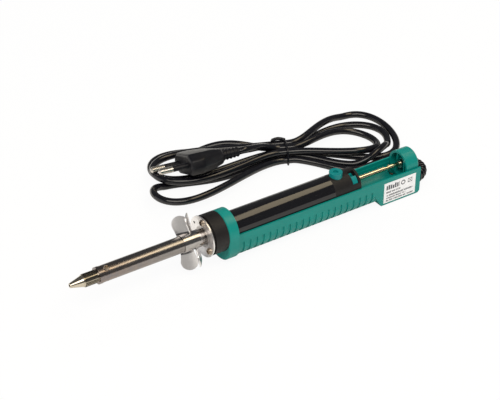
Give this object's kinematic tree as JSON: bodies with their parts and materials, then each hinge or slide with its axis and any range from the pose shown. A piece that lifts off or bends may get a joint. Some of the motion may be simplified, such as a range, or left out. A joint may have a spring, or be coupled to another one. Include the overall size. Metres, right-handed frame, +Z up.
{
  "type": "desoldering iron",
  "caption": "Hand-held desoldering iron: heated suction nozzle, sprung plunger pump in a trough handle, latch button, mains cord in a tied bundle with a flat plug.",
  "frame": {"origin": "centre of the underside's bounding box, without the cord and what is on it: halfway from the nozzle's mouth to the handle's rear face, on the tool's middle plane, at the surface it lies on", "axes": "+X along the tool from nozzle to push head, +Y towards the side where the cord lies, +Z up"},
  "size_m": [0.2774, 0.1264, 0.0347],
  "materials": {
    "nozzle_metal": "bright",
    "tube_metal": "brushed",
    "bright_steel": "polished",
    "screw_steel": "plain",
    "brass": "satin",
    "spring_steel": "plain",
    "ceramic": "ceramic",
    "heater_wire": "dull",
    "black_matte": "matte",
    "barrel_black": "gloss black",
    "green_plastic": "satin",
    "button_teal": "gloss",
    "seal_rubber": "silicone",
    "ring_rubber": "matte",
    "lead_sleeve": "braided",
    "core_brown": "satin",
    "block_plastic": "matte",
    "label_white": "satin",
    "cord_black": "gloss",
    "plug_black": "satin",
    "pin_nickel": "bright"
  },
  "bodies": {
    "iron": {"nozzle": "nozzle_metal", "knurled_sleeve": "nozzle_metal", "tube_end_ring": "tube_metal", "heater_tube": "tube_metal", "set_screw": "screw_steel", "suction_tube": "bright_steel", "heater_core": "ceramic", "heater_winding": "heater_wire", "heat_guard": "bright_steel", "flange_plate": "bright_steel", "flange_screws": "screw_steel", "insulator": "ceramic", "front_cap": "black_matte", "front_seal": "seal_rubber", "barrel": "barrel_black", "barrel_end_cap": "black_matte", "main_spring": "spring_steel", "button_spring": "spring_steel", "handle": "green_plastic", "wire_cover": "green_plastic", "cover_screws": "screw_steel", "terminal_block": "block_plastic", "terminal_screws": "screw_steel", "cord_clamp": "green_plastic", "clamp_screws": "screw_steel", "heater_leads": "lead_sleeve", "cord_cores": "core_brown", "inner_cord": "cord_black", "label_plate": "label_white", "strain_relief": "cord_black", "cord_lead": "cord_black", "cord_hank": "cord_black", "cord_tail": "cord_black", "cord_tie": "cord_black", "plug_body": "plug_black", "pin_sleeves": "plug_black", "plug_pins": "pin_nickel"},
    "plunger": {"plunger_rod": "brass", "piston": "brass", "piston_ring": "ring_rubber", "push_head": "green_plastic", "rod_nut": "bright_steel"},
    "button": {"release_button": "button_teal"}
  },
  "joints": [
    {"name": "plunger_slide", "type": "slide", "parent": "iron", "child": "plunger", "axis": [-1, 0, 0], "range_m": [0, 0.03], "stiffness_N_per_m": 300, "springref_m": -0.005, "deforming": ["main_spring"]},
    {"name": "button_press", "type": "slide", "parent": "iron", "child": "button", "axis": [0, 0, -1], "range_m": [0, 0.0018], "stiffness_N_per_m": 500, "springref_m": -0.0004, "deforming": ["button_spring"]}
  ]
}
